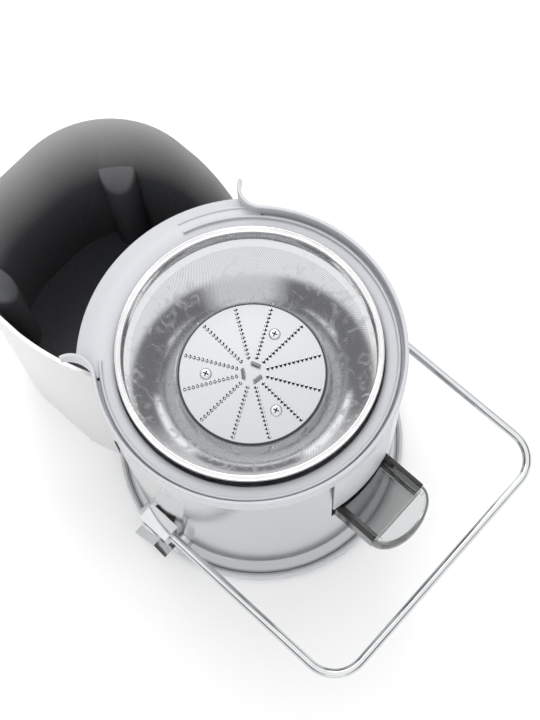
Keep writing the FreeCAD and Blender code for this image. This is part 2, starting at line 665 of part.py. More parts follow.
# ---------------------------------------------------------------- basket
# A pressed rim over a collar, a perforated cone welded under it, and a moulded base with a hexagonal hub.
node("mesh_cone", turned(
    ("mesh_foot - mesh_wall", "disc_low"), ("mesh_foot", "disc_low"), ("mesh_head", "collar_low"),
    ("mesh_head - mesh_wall", "collar_low"),
))
node("basket_collar", tube("rim_bore + collar_wall", "rim_bore", "collar_low", "rim_low"))
node("basket_rim", turned(
    ("rim_bore", "rim_low"), ("rim_radius - rim_edge", "rim_low"), ("rim_radius", "rim_low + rim_edge"),
    ("rim_radius", "lip_top - rim_edge"), ("rim_radius - rim_edge", "lip_top"),
    ("rim_bore + rim_edge", "lip_top"), ("rim_bore", "lip_top - rim_edge"),
))
node("basket_base", less(
    joined(
        rod("pan_radius", "pan_low", "disc_low"), rod("hub_radius", "hub_low", "pan_low + lap"),
        tube("ring_bore + ring_wall", "ring_bore", "pan_low - ring_drop", "pan_low + lap"),
    ),
    prism("coupling_hex + run_gap", "hub_low - lap", "pan_low"),
))

# The disc has rows of teeth from the middle outwards, three screws, and three small blades at its centre.
teeth = [
    spoke(f"tooth_first + {i} * tooth_pitch", "tooth_length", "tooth_width", "disc_top - tooth_root",
          "disc_top + tooth_height", f"({row} * 360 / tooth_rows + rows_turn)")
    for row in range(int(number("tooth_rows"))) for i in range(int(number("tooth_count")))
]
disc_holes = around(
    3, "disc_screw_ring", lambda x, y: hole("disc_screw_shank + shaft_gap", x=x, y=y), "disc_screw_turn",
)
node("grating_disc", joined(less(rod("disc_radius", "disc_low", "disc_top"), *disc_holes), *teeth))
node("disc_screws", group(*around(3, "disc_screw_ring", lambda x, y: joined(
    rod("disc_screw_shank", "disc_low + shaft_gap", "disc_top + slip_gap", x=x, y=y),
    rod("disc_screw_head", "disc_top + fit_gap", "disc_top + disc_screw_rise", x=x, y=y),
), "disc_screw_turn")))
node("centre_blades", group(*around(3, "blade_ring", lambda x, y: box(
    f"{x} - blade_length / 2", f"{x} + blade_length / 2", f"{y} - run_gap", f"{y} + run_gap",
    "disc_top + fit_gap", "disc_top + blade_length",
), "blade_turn")))

# ---------------------------------------------------------------- pulp container
# A tall open box with two round back corners, hollowed in front to fit round the body and the base ring.


def plan_of(inset, low, high):
    """The container's plan as a solid, drawn in by an inset; its long sides curve in, more at the top."""
    half = f"box_half - ({inset})"
    corner = f"box_corner - ({inset})"
    plan = joined(
        box("corner_x", "-front_reach", f"-({half})", half, low, high),
        box(f"({inset}) - box_back", "corner_x + lap", "-box_flat", "box_flat", low, high),
        rod(corner, low, high, x="corner_x", y="box_flat"),
        rod(corner, low, high, x="corner_x", y="-box_flat"),
    )
    foot = f"side_radius + side_flare - ({inset})"
    head = f"side_radius - side_flare - ({inset})"
    sides = [cone(foot, head, "0", "2 * box_top", "side_x", y) for y in ("side_y", "-side_y")]
    return common(plan, *sides)


def grip(radius, top, side):
    """A finger hollow's column in a back corner; its top slopes down towards the inside."""
    drop = "2 * grip_radius * tan(grip_slope)"
    return less(
        rod(radius, "-lap", top, x="grip_x", y=f"{side} * grip_y"),
        cone("grip_ring - 2 * grip_radius", "grip_ring", f"({top}) - {drop}", top, x="corner_x",
             y=f"{side} * box_flat"),
    )


outer_box = less(
    plan_of("0", "0", "box_top"), hole("front_radius"), rod("notch_radius", "-lap", "notch_top"),
)
inner_box = less(
    plan_of("box_wall", "box_wall", "far"), hole("front_radius + box_wall"),
    rod("notch_radius + box_wall", "-lap", "notch_top + box_wall"),
)
columns = [
    common(grip("grip_radius", "grip_top", side), plan_of("seat_gap", "run_gap", "box_top"))
    for side in (1, -1)
]
hollows = [
    grip("grip_radius - box_wall", "grip_top - box_wall / cos(grip_slope)", side) for side in (1, -1)
]
node("pulp_container", less(joined(less(outer_box, inner_box), *columns), *hollows))

# ---------------------------------------------------------------- locking arm
# One bent rod with a pivot block on each end, turning on two pins in brass bushes in the shell.
bend_x = "rod_end - rod_bend"
bend_y = "rod_side - rod_bend"
lengths = [rod("rod_radius", f"-({bend_y})", bend_y, x="rod_end", z="rod_height", along="y")]
for side, quarter in ((1, 0), (-1, -90)):
    at = {"y": f"{side} * rod_side", "z": "rod_height"}
    lengths.append(rod("rod_radius", "block_end + fit_gap", bend_x, along="x", **at))
    corner = bind(doc.addObject("Part::Torus", "corner"), Radius1="rod_bend", Radius2="rod_radius")
    corner.Angle3 = 90
    quarter_turn = FreeCAD.Rotation(FreeCAD.Vector(0, 0, 1), quarter)
    place(corner, bend_x, f"{side} * ({bend_y})", "rod_height", quarter_turn)
    lengths.append(corner)
node("locking_arm", joined(*lengths))
pivot = {"x": "pivot_x", "z": "rod_height", "along": "y"}
for end, side in (("front", -1), ("back", 1)):
    low, high = span(side, "block_in", "block_out")
    block = box(
        "pivot_x - block_back", "block_end", low, high, "rod_height - block_rise", "rod_height + block_rise",
    )
    node(f"arm_block_{end}", less(block, hole("pin_radius + fit_gap", **pivot)))
    pin = rod("pin_radius", *span(side, "pin_inner", "block_out + pin_cap_height"), **pivot)
    cap = rod("pin_cap", *span(side, "block_out", "block_out + pin_cap_height"), **pivot)
    node(f"pivot_pin_{end}", joined(pin, cap))
    low, high = span(side, "body_radius - bush_depth", "body_radius + bush_proud")
    node(f"pivot_bush_{end}", tube("bush_radius", "pin_radius + shaft_gap", low, high, **pivot))

# With the arm down, the front pin holds a plunger against the safety switch.
node("interlock_plunger", rod("plunger_radius", "-plunger_inner", "plunger_length - plunger_inner", **pivot))
switch_front = "plunger_length / 2 - plunger_inner"
switch_bore = f"{switch_front} + plunger_length / 2 + plunger_travel"
node("safety_switch", less(
    box("pivot_x - switch_width / 2", "pivot_x + switch_width / 2", switch_front,
        f"{switch_bore} + switch_depth", "rod_height - switch_height / 2", "deck_low"),
    rod("plunger_radius + seat_gap", f"{switch_front} - lap", f"{switch_bore} + lap", **pivot),
))

# ---------------------------------------------------------------- control knob
# A dial with a bar handle turns in a round bezel; its stem goes through the shell into a rotary switch.
knob_axis = {"z": "knob_height", "along": "y"}
body_column = turned(
    ("0", "0"), ("flare_radius + seat_gap", "0"), ("flare_radius + seat_gap", "base_top"),
    ("body_radius + seat_gap", "base_top + flare_rise"), ("body_radius + seat_gap", "body_top"),
    ("0", "body_top"),
)
node("knob_bezel", less(
    rod("bezel_radius", "-bezel_face", "bezel_depth - body_radius", **knob_axis),
    rod("dial_radius + slip_gap", "-far", "bezel_wall - bezel_face", **knob_axis),
    hole("stem_radius + slip_gap", **knob_axis),
    body_column,
))
bar = box("-bar_half", "bar_half", "-bar_face", "-bezel_face - run_gap", "-bar_reach", "bar_reach")
place(
    bar, "-bar_half * cos(knob_turn) - bar_reach * sin(knob_turn)", "-bar_face",
    "knob_height + bar_half * sin(knob_turn) - bar_reach * cos(knob_turn)", TURN_Y, "knob_turn",
)
node("control_knob", joined(
    rod("dial_radius", "-dial_face - dial_thick", "-dial_face", **knob_axis), bar,
    rod("stem_radius", "-dial_face - lap", "-stem_inner", **knob_axis),
))
node("switch_body", less(
    box("-pot_half", "pot_half", "-pot_out", "pot_depth - pot_out", "knob_height - pot_half",
        "knob_height + pot_half"),
    rod("stem_radius + seat_gap", "-far", "lap - stem_inner", **knob_axis),
))
node("switch_bracket", box(
    "-pot_half", "pot_half", "pot_depth - pot_out", "-board_face", "knob_height - strut_half",
    "knob_height + strut_half",
))

# The control board stands behind the switch in two clips on the bottom plate.
node("control_board", box(
    "-board_half", "board_half", "-board_face", "-board_back", "board_low", "board_top",
))
board_room = box("-far", "far", "-board_face - fit_gap", "fit_gap - board_back", "board_low - fit_gap", "far")
clips = []
for side in (-1, 1):
    low, high = span(side, "clip_place - clip_half", "clip_place + clip_half")
    clips.append(less(
        box(low, high, "-board_face - clip_wall", "clip_wall - board_back", "plate_top",
            "board_low + clip_rise"),
        board_room,
    ))
node("board_clips", group(*clips))

# ---------------------------------------------------------------- cord gland
# A bushing with a collar that fits the shell's curve, wide inside and close on the cord at its outer end.
gland_axis = {"x": "gland_x", "z": "gland_height", "along": "y"}
collar = common(
    rod("gland_collar", "gland_in", "gland_end", **gland_axis),
    rod("body_radius + gland_collar_wall", "0", "far"),
)
node("cord_gland", less(
    joined(less(collar, body_column), rod("gland_radius", "gland_in", "gland_end", **gland_axis)),
    rod("gland_bore", "0", "far", **gland_axis),
    rod("gland_room", "0", "gland_end - gland_neck", **gland_axis),
))

doc.recompute()
for thing in doc.Objects:
    if "Invalid" in thing.State or "Error" in thing.State:
        raise RuntimeError(f"{thing.Name} did not build: {thing.State}")
for name, thing in NODES.items():
    if thing.Shape.isNull() or not thing.Shape.isValid() or not thing.Shape.Solids:
        raise RuntimeError(f"{name} has no valid solid")
os.makedirs("parts", exist_ok=True)
for name, thing in NODES.items():
    thing.Shape.exportStep(f"parts/{name}.step")
    print(f"{name}: {len(thing.Shape.Solids)} solids, {thing.Shape.Volume:.1f} mm3")
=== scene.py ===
from math import acos, asin, atan2, cos, degrees, radians, sin, sqrt

import bmesh
import bpy
from mathutils import Matrix, Vector


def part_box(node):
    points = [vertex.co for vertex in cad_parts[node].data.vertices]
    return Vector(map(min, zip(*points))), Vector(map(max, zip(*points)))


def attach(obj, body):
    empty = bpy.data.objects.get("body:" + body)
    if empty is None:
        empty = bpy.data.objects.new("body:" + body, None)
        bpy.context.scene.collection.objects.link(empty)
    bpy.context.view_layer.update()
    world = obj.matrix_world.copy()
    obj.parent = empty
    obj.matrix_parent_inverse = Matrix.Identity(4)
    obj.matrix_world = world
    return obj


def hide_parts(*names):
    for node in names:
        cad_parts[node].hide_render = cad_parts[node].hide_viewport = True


# Centrifugal juicer with its lid off, from the base up: base ring, steel body, motor, filter bowl, spout
# and hood, basket with its grating disc, pulp container, locking arm, knob and cord gland. Sizes are in
# millimetres, and mm turns them to metres.

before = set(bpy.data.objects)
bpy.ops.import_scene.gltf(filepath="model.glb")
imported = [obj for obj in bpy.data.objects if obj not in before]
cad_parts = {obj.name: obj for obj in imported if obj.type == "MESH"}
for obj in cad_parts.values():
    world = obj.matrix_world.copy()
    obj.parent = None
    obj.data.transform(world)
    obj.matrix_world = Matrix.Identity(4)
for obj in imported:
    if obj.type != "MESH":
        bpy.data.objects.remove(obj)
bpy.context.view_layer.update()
scene = bpy.context.scene
mm = 0.001


# Camera: looks steeply down from the front right at the motor axis, 200 mm above the table.
# Its roll and its small shift set the object's place in the frame.
view_azimuth = radians(47.5)
view_elevation = radians(70.8)
view_roll = radians(-5.3)
view_distance = 780
view_scale = 1340
aim_height = 200
aim_aside = 21
aim_above = -11
picture_height = 720
back = Vector((
    sin(view_azimuth) * cos(view_elevation), -cos(view_azimuth) * cos(view_elevation), sin(view_elevation),
))
level = Vector((cos(view_azimuth), sin(view_azimuth), 0))
upright = back.cross(level)
across = level * cos(view_roll) + upright * sin(view_roll)
up = upright * cos(view_roll) - level * sin(view_roll)
aside = aim_aside / view_scale * view_distance
above = aim_above / view_scale * view_distance
camera = bpy.data.objects.new("camera", bpy.data.cameras.new("camera"))
scene.collection.objects.link(camera)
camera.matrix_world = Matrix.Translation(
    (Vector((0, 0, aim_height)) + back * view_distance + across * aside + up * above) * mm
) @ Matrix((across, up, back)).transposed().to_4x4()
camera.data.lens = view_scale / picture_height * camera.data.sensor_width
camera.data.clip_end = 60
scene.camera = camera


# Floor and light: a plain white studio table in a white tent, with one soft lamp behind on the left. From
# the table up, the tent has a bright skirting, five windows with dark cloth between them, a dark flag at
# each side, and a bright top, which together draw the streaks that bright metal shows.
def colour(code):
    """A linear colour from its sRGB hex code."""
    parts = [int(code[i:i + 2], 16) / 255 for i in (0, 2, 4)]
    return [part / 12.92 if part <= 0.04045 else ((part + 0.055) / 1.055) ** 2.4 for part in parts] + [1.0]


def add(tree, kind, settings=None, links=None):
    """Add one node: settings fill its sockets or properties, and links feed its sockets."""
    node = tree.nodes.new(kind)
    for name, value in (settings or {}).items():
        if isinstance(name, int) or name in node.inputs:
            node.inputs[name].default_value = value
        else:
            setattr(node, name, value)
    for name, source in (links or {}).items():
        tree.links.new(source, node.inputs[name])
    return node


def new_finish(name, base, roughness, metallic=0.0, **more):
    """A material with its constant values on the shader's own sockets."""
    made = bpy.data.materials.new(name)
    made.use_nodes = True
    shader = made.node_tree.nodes["Principled BSDF"]
    shader.inputs["Base Color"].default_value = colour(base)
    shader.inputs["Roughness"].default_value = roughness
    shader.inputs["Metallic"].default_value = metallic
    for socket, value in more.items():
        shader.inputs[socket.replace("_", " ")].default_value = value
    return made


def give_grain(made, grain, depth, smoothest, roughest, stretch=(1, 1, 1), tones=None):
    """Fine surface grain: its size and depth in millimetres, the roughness it varies over, and two tones."""
    tree = made.node_tree
    shader = tree.nodes["Principled BSDF"]
    place = add(tree, "ShaderNodeTexCoord").outputs["Object"]
    drawn = add(tree, "ShaderNodeMapping", {"Scale": stretch}, {"Vector": place}).outputs["Vector"]
    noise = add(
        tree, "ShaderNodeTexNoise", {"Scale": 1 / (grain * mm), "Detail": 3}, {"Vector": drawn},
    ).outputs[0]
    spread = add(
        tree, "ShaderNodeMapRange",
        {"From Min": 0.3, "From Max": 0.7, "To Min": smoothest, "To Max": roughest}, {"Value": noise},
    ).outputs[0]
    tree.links.new(spread, shader.inputs["Roughness"])
    bump = add(
        tree, "ShaderNodeBump", {"Distance": depth * mm, "Strength": 0.6}, {"Height": noise},
    ).outputs[0]
    tree.links.new(bump, shader.inputs["Normal"])
    if tones:
        ramp = add(tree, "ShaderNodeValToRGB", links={"Fac": noise})
        for stop, position, tone in zip(ramp.color_ramp.elements, (0.3, 0.7), tones):
            stop.position = position
            stop.color = colour(tone)
        tree.links.new(ramp.outputs["Color"], shader.inputs["Base Color"])
    return made


floor_half = 30000
sheet = bmesh.new()
bmesh.ops.create_grid(sheet, x_segments=1, y_segments=1, size=floor_half * mm)
floor_mesh = bpy.data.meshes.new("floor")
sheet.to_mesh(floor_mesh)
sheet.free()
# Matt laminate: plain white, with a grain too fine to see.
floor_mesh.materials.append(
    give_grain(new_finish("white_matt_laminate", "ffffff", 0.9), 0.5, 0.01, 0.85, 0.95),
)
floor = bpy.data.objects.new("floor", floor_mesh)
scene.collection.objects.link(floor)

world = bpy.data.worlds.new("studio")
scene.world = world
world.use_nodes = True
sky = world.node_tree
direction = add(sky, "ShaderNodeTexCoord").outputs["Generated"]
apart = add(sky, "ShaderNodeSeparateXYZ", links={0: direction})
bearing = add(sky, "ShaderNodeMath", {"operation": "ARCTAN2"}, {0: apart.outputs["Y"], 1: apart.outputs["X"]})
windows = 5
first_window = radians(-46)
phase = add(
    sky, "ShaderNodeMath", {"operation": "MULTIPLY_ADD", 1: windows, 2: -windows * first_window},
    {0: bearing.outputs[0]},
)
wave = add(sky, "ShaderNodeMath", {"operation": "COSINE"}, {0: phase.outputs[0]})
window = add(
    sky, "ShaderNodeMapRange", {"From Min": -0.1, "From Max": 0.35, "To Min": 0.12, "To Max": 1.45},
    {"Value": wave.outputs[0]},
)


def tent_band(low, high):
    """How far a height in the tent has gone from one place to another, smoothly from 0 to 1."""
    return add(
        sky, "ShaderNodeMapRange", {"interpolation_type": "SMOOTHSTEP", "From Min": low, "From Max": high},
        {"Value": apart.outputs["Z"]},
    ).outputs[0]


# Each part of the tent fades into the next between two heights, from 0 at the table to 1 overhead.
skirting_top = (0.1, 0.15)
windows_top = (0.28, 0.34)
flags_top = (0.58, 0.66)
skirting = 1.2
zenith = 1.15
flag_gap = radians(137.5)
gap_phase = add(
    sky, "ShaderNodeMath", {"operation": "MULTIPLY_ADD", 1: 2, 2: -2 * flag_gap}, {0: bearing.outputs[0]},
)
gap_wave = add(sky, "ShaderNodeMath", {"operation": "COSINE"}, {0: gap_phase.outputs[0]})
flags = add(
    sky, "ShaderNodeMapRange", {"From Min": 0.1, "From Max": 0.7, "To Min": 0.1, "To Max": 0.85},
    {"Value": gap_wave.outputs[0]},
)
foot = add(
    sky, "ShaderNodeMix", {"data_type": "FLOAT", 2: skirting},
    {0: tent_band(*skirting_top), 3: window.outputs[0]},
)
low_part = add(
    sky, "ShaderNodeMix", {"data_type": "FLOAT"},
    {0: tent_band(*windows_top), 2: foot.outputs[0], 3: flags.outputs[0]},
)
tent = add(
    sky, "ShaderNodeMix", {"data_type": "FLOAT", 3: zenith},
    {0: tent_band(*flags_top), 2: low_part.outputs[0]},
)
sky.links.new(tent.outputs[0], sky.nodes["Background"].inputs["Color"])
sky.nodes["Background"].inputs["Strength"].default_value = 1.25
lamp = bpy.data.objects.new("soft_lamp", bpy.data.lights.new("soft_lamp", "AREA"))
lamp.data.size = 0.9
lamp.data.energy = 8
lamp_place = Vector((-0.9, 0.7, 1.6))
lamp.matrix_world = Matrix.Translation(lamp_place) @ lamp_place.to_track_quat("Z", "Y").to_matrix().to_4x4()
scene.collection.objects.link(lamp)
scene.view_settings.view_transform = "Standard"


# Base ring: moulded in light grey ABS. A narrow shadow groove runs round it at the foot of the steel body,
# and the bottom plate is let into it from below.
def lathe(outline, start=0, sweep=360, steps=144, about=(0, 0)):
    """A closed shell turned about an upright axis from an outline of radii and heights."""
    shell = bmesh.new()
    middle = Vector((*about, 0))
    way = Vector((cos(radians(start)), sin(radians(start)), 0))
    corners = [
        shell.verts.new((middle + way * radius + Vector((0, 0, height))) * mm)
        for radius, height in outline
    ]
    loop = [shell.edges.new((one, other)) for one, other in zip(corners, corners[1:] + corners[:1])]
    bmesh.ops.spin(
        shell, geom=corners + loop, cent=middle * mm, axis=(0, 0, 1), angle=radians(sweep), steps=steps,
        use_merge=sweep == 360,
    )
    return shell


def piece(name, shells, finishes, body, slot, *nodes, edge=0, smooth=35):
    """Close the shells, join them in one named object, and hand it to its body and CAD nodes. The slot is not
    used.
    """
    whole = bmesh.new()
    for shell in shells:
        bmesh.ops.remove_doubles(shell, verts=shell.verts, dist=0.002 * mm)
        bmesh.ops.holes_fill(shell, edges=[edge_line for edge_line in shell.edges if edge_line.is_boundary])
        bmesh.ops.recalc_face_normals(shell, faces=shell.faces)
        part = bpy.data.meshes.new("shell")
        shell.to_mesh(part)
        shell.free()
        whole.from_mesh(part)
        bpy.data.meshes.remove(part)
    mesh = bpy.data.meshes.new(name)
    whole.to_mesh(mesh)
    whole.free()
    for finish in finishes:
        mesh.materials.append(finish)
    mesh.shade_smooth()
    mesh.set_sharp_from_angle(angle=radians(smooth))
    made = bpy.data.objects.new(name, mesh)
    scene.collection.objects.link(made)
    if edge:
        rounded = made.modifiers.new("edges", "BEVEL")
        rounded.width = edge * mm
        rounded.segments = 3
        rounded.limit_method = "ANGLE"
        rounded.angle_limit = radians(smooth)
        rounded.harden_normals = True
    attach(made, body)
    if nodes:
        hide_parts(*nodes)
    return made


def reach(node):
    """A CAD node's highest x, lowest z and highest z, in millimetres."""
    low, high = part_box(node)
    return high.x / mm, low.z / mm, high.z / mm


base_radius, base_foot, base_top = reach("base_ring")
base_width = 14
base_edge = 1.5
body_foot = 97.5
seam_width = 1.1
seam_depth = 1.5
base_bore = base_radius - base_width
base_outline = [
    (base_bore, base_foot), (base_radius - base_edge, base_foot), (base_radius, base_foot + base_edge),
    (base_radius, base_top - 1), (base_radius - 0.8, base_top - 0.15), (body_foot + seam_width, base_top),
    (body_foot + seam_width, base_top - seam_depth), (body_foot, base_top - seam_depth),
    (body_foot, base_top),
    (base_bore, base_top),
]
# Moulded ABS: light cool grey and satin, with a fine even spark texture that softens highlights.
moulded_abs = give_grain(
    new_finish("moulded_satin_abs", "bfc1c5", 0.38, IOR=1.5), 0.5, 0.012, 0.32, 0.44,
    tones=("bec0c4", "c5c7cb"),
)
piece(
    "base_ring_moulding", [lathe(base_outline)], [moulded_abs], "base", "bowl_plastic", "base_ring",
    edge=0.3,
)

# Bottom plate and its screws, the motor deck and the posts between: they close the motor space. They keep
# their CAD shapes.
# Moulded black ABS: charcoal with a coarse matt spark texture.
black_abs = give_grain(
    new_finish("moulded_matt_black_abs", "242425", 0.5, IOR=1.5), 0.8, 0.03, 0.42, 0.6,
    tones=("1f1f21", "2b2b2d"),
)
# Moulded rubber: dark, dull and slightly dusty.
rubber = give_grain(
    new_finish("moulded_soft_rubber", "2a2a2a", 0.75, IOR=1.5), 1.2, 0.04, 0.68, 0.85,
    tones=("232323", "323231"),
)
# Zinc plated steel: bright grey with a faint cloudy bloom.
zinc = give_grain(
    new_finish("zinc_plated_steel", "b9bbbb", 0.3, 1.0), 1.5, 0.005, 0.24, 0.38, tones=("afb1b3", "c3c4c2"),
)
# Die cast alloy: dull silver with the orange peel of the mould.
cast_alloy = give_grain(
    new_finish("die_cast_alloy", "a8aaab", 0.5, 1.0), 1.8, 0.06, 0.42, 0.6, tones=("9c9ea0", "b1b3b4"),
)


def coat(finish, *nodes):
    """Give CAD nodes that keep their shape a finish."""
    for name in nodes:
        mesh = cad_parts[name].data
        mesh.materials.clear()
        mesh.materials.append(finish)


coat(black_abs, "bottom_plate", "motor_deck", "board_clips", "switch_bracket", "switch_body", "safety_switch")
coat(black_abs, "interlock_plunger", "cooling_fan", "drive_coupling", "brush_holders", "cord_gland")
coat(rubber, "rubber_feet", "shaft_seal", "motor_mounts", "bowl_centre_seal")
coat(zinc, "bottom_screws", "deck_screws", "motor_bolts", "rotor_shaft")
coat(cast_alloy, "frame_posts", "motor_lower_bracket", "motor_upper_bracket")

# Motor: laminated stator and armature, enamelled copper windings, copper commutator, carbon brushes and ball
# bearings, with the control board behind the knob.
# Steel laminations: dull grey sheets stacked upwards, each 0.5 mm thick, so the lines run round.
laminations = give_grain(
    new_finish("stacked_steel_laminations", "6f7173", 0.5, 1.0), 3, 0.1, 0.4, 0.6, (1, 1, 6),
    ("5f6164", "7f8183"),
)
# Enamelled copper wire: warm and glossy, wound in fine turns.
copper_wire = give_grain(
    new_finish("enamelled_copper_wire", "b06a3a", 0.3, 1.0), 1.2, 0.25, 0.22, 0.42, (1, 1, 3),
    ("96522a", "bf7745"),
)
# Turned brass: yellow metal with fine rings from the lathe.
turned_brass = give_grain(
    new_finish("turned_brass", "c9a45a", 0.3, 1.0), 1.0, 0.01, 0.22, 0.36, (1, 4, 1), ("c09a50", "d2ae66"),
)
# Sintered bronze, soaked in oil: nearly black, with pores that take off its shine.
oiled_bronze = give_grain(
    new_finish("oil_soaked_sintered_bronze", "332c26", 0.5, 0.6), 0.5, 0.03, 0.42, 0.6,
    tones=("2a241f", "3d352d"),
)
# Pressed carbon: black and dusty.
pressed_carbon = give_grain(
    new_finish("pressed_carbon", "303030", 0.8), 0.6, 0.03, 0.72, 0.9, tones=("282828", "3a3a3a"),
)
# Circuit board laminate: green solder mask with faint copper tracks under it.
solder_mask = give_grain(
    new_finish("solder_mask_on_laminate", "2f6b46", 0.35, IOR=1.5), 2.5, 0.03, 0.28, 0.45,
    tones=("285f3e", "3d7f58"),
)
# Ground bearing steel: bright, with lines from grinding.
bearing_steel = give_grain(
    new_finish("ground_bearing_steel", "c9cbcd", 0.2, 1.0), 0.8, 0.004, 0.14, 0.26, (1, 1, 4),
    ("c3c5c7", "d1d3d4"),
)
coat(laminations, "stator_core", "armature_core")
coat(copper_wire, "stator_coils", "armature_windings")
coat(turned_brass, "commutator")
coat(oiled_bronze, "pivot_bush_front", "pivot_bush_back")
coat(pressed_carbon, "carbon_brushes")
coat(solder_mask, "control_board")
coat(bearing_steel, "upper_bearing", "lower_bearing")

# Body shell: one drawn sleeve of stainless sheet that flares over the base ring, with a slot for the
# spout. It keeps its CAD shape.
# Polished stainless sheet: nearly mirror bright, with hairlines that run round the body and pull its
# highlights out sideways. Real hairlines are under 0.1 mm, so they are drawn coarser to show.
polished_sheet = give_grain(
    new_finish("polished_stainless_sheet", "c2c3c5", 0.14, 1.0), 12, 0.004, 0.1, 0.2, (1, 1, 24),
    ("bdbec0", "c8c9ca"),
)
coat(polished_sheet, "body_shell")

# Filter bowl: moulded in light grey ABS. A round vessel with a flat flange, a ridge and groove that
# locate the lid, and an upright lip. On the left the lip opens into a chute, which has a low ridge of its
# own, between two curved wings that thin to their tips.
_, bowl_low, lip_top = reach("filter_bowl")
seat = 187.8
bowl_radius = 89.5
bowl_bore = 86.7
floor_top = bowl_low + 3
chimney_bore = 24
chimney_out = 27
chimney_top = 148
flange_bore = 79.8
flange_low = 189.5
flange_top = 192
ridge_bore = 87
groove_bore = 88.8
groove_floor = 190.7
ridge_top = 194.2
lip_radius = 93
lip_bore = 90.6
outlet_half = 17.5
outlet_turn = degrees(asin(outlet_half / bowl_radius))
outlet_top = 124.8
chute_start = 127.5
chute_sweep = 105
chute_radius = 103.5
chute_drop = 4.5
ridge_from = 160
ridge_gap = 65
skirt_half = 25.4
skirt_low = 126.5
skirt_radius = 93.2
skirt_turn = degrees(asin(skirt_half / skirt_radius))
bowl_shells = [
    lathe([
        (chimney_bore, bowl_low), (bowl_radius, bowl_low), (bowl_radius, floor_top), (chimney_out, floor_top),
        (chimney_out, chimney_top), (chimney_bore, chimney_top),
    ]),
    lathe([
        (bowl_bore, floor_top), (bowl_radius, floor_top), (bowl_radius, outlet_top), (bowl_bore, outlet_top),
    ], outlet_turn, 360 - 2 * outlet_turn),
    lathe([
        (bowl_bore, outlet_top), (bowl_radius, outlet_top), (bowl_radius, groove_floor),
        (groove_bore, groove_floor), (groove_bore, flange_top - 0.2), (groove_bore - 0.2, flange_top),
        (flange_bore + 3, flange_top), (flange_bore + 1.5, flange_top - 0.3),
        (flange_bore + 0.5, flange_top - 0.9), (flange_bore, flange_top - 1.9), (flange_bore, flange_low),
        (bowl_bore, flange_low),
    ]),
    lathe([
        (ridge_bore, flange_top - 0.3), (groove_bore, flange_top - 0.3), (groove_bore, ridge_top - 0.5),
        (groove_bore - 0.4, ridge_top), (ridge_bore + 0.4, ridge_top), (ridge_bore, ridge_top - 0.5),
    ], ridge_from + ridge_gap, 360 - ridge_gap),
    lathe([
        (bowl_radius - 0.4, seat), (lip_bore + 0.2, seat), (lip_bore + 0.2, groove_floor),
        (bowl_radius - 0.4, groove_floor),
    ], chute_start + chute_sweep, 360 - chute_sweep),
    lathe([
        (bowl_radius - 0.5, skirt_low), (skirt_radius, skirt_low), (skirt_radius, flange_top - 2),
        (skirt_radius - 0.6, flange_top - 1), (bowl_radius - 0.5, flange_top - 1),
    ], -skirt_turn, 2 * skirt_turn, 12),
]
wing_turn = 51.6
wing_radius = 14.5
wing_place = lip_radius - (lip_radius - lip_bore) / 2 + wing_radius
chute = lathe([
    (groove_bore - 0.3, seat), (lip_radius + 1, seat), (chute_radius - 1, seat - chute_drop + 2.3),
    (chute_radius, seat - chute_drop + 2.6), (chute_radius, flange_top - chute_drop - 0.7),
    (chute_radius - 0.8, flange_top - chute_drop + 0.1), (lip_radius + 4, flange_top - 1.6),
    (lip_radius + 1, flange_top - 0.5), (lip_radius - 2, flange_top), (groove_bore - 0.3, flange_top),
], chute_start, chute_sweep, 60)
for vert in chute.verts:
    # The chute's two ends follow the wings' round walls, so its width in degrees falls with its radius.
    radius = max(vert.co.xy.length / mm, wing_place - wing_radius)
    cosine = (radius ** 2 + wing_place ** 2 - wing_radius ** 2) / (2 * radius * wing_place)
    half = wing_turn - degrees(acos(min(1, cosine)))
    turn = degrees(atan2(vert.co.y, -vert.co.x)) * (half / (chute_sweep / 2) - 1)
    vert.co.rotate(Matrix.Rotation(radians(-turn), 3, "Z"))
bowl_shells.append(chute)
ledge_from = 134
ledge_sweep = 26
bowl_shells.append(lathe([
    (lip_radius + 1.2, flange_top - 2), (lip_radius + 2.8, flange_top - 2),
    (lip_radius + 2.8, flange_top - 0.1), (lip_radius + 2.4, flange_top + 0.3),
    (lip_radius + 1.6, flange_top + 0.3), (lip_radius + 1.2, flange_top - 0.1),
], ledge_from, ledge_sweep, 16))
wing_sweep = 106
wing_steps = 16
wing_low = 186
wing_tip = 8.5
wing_dip = 3.5
wing_start = 0.87
wing_growth = 0.05
lip_outline = [
    (lip_bore, seat), (lip_radius, seat), (lip_radius, lip_top - 0.7), (lip_radius - 0.7, lip_top),
    (lip_bore + 0.5, lip_top), (lip_bore, lip_top - 0.5),
]
lip = bmesh.new()
corners = [lip.verts.new(Vector((
    radius * cos(radians(wing_turn - 180)), radius * sin(radians(wing_turn - 180)), height,
)) * mm) for radius, height in lip_outline]
loop = [lip.edges.new((one, other)) for one, other in zip(corners, corners[1:] + corners[:1])]
ring = bmesh.ops.spin(lip, geom=corners + loop, axis=(0, 0, 1), angle=radians(360 - 2 * wing_turn), steps=120)
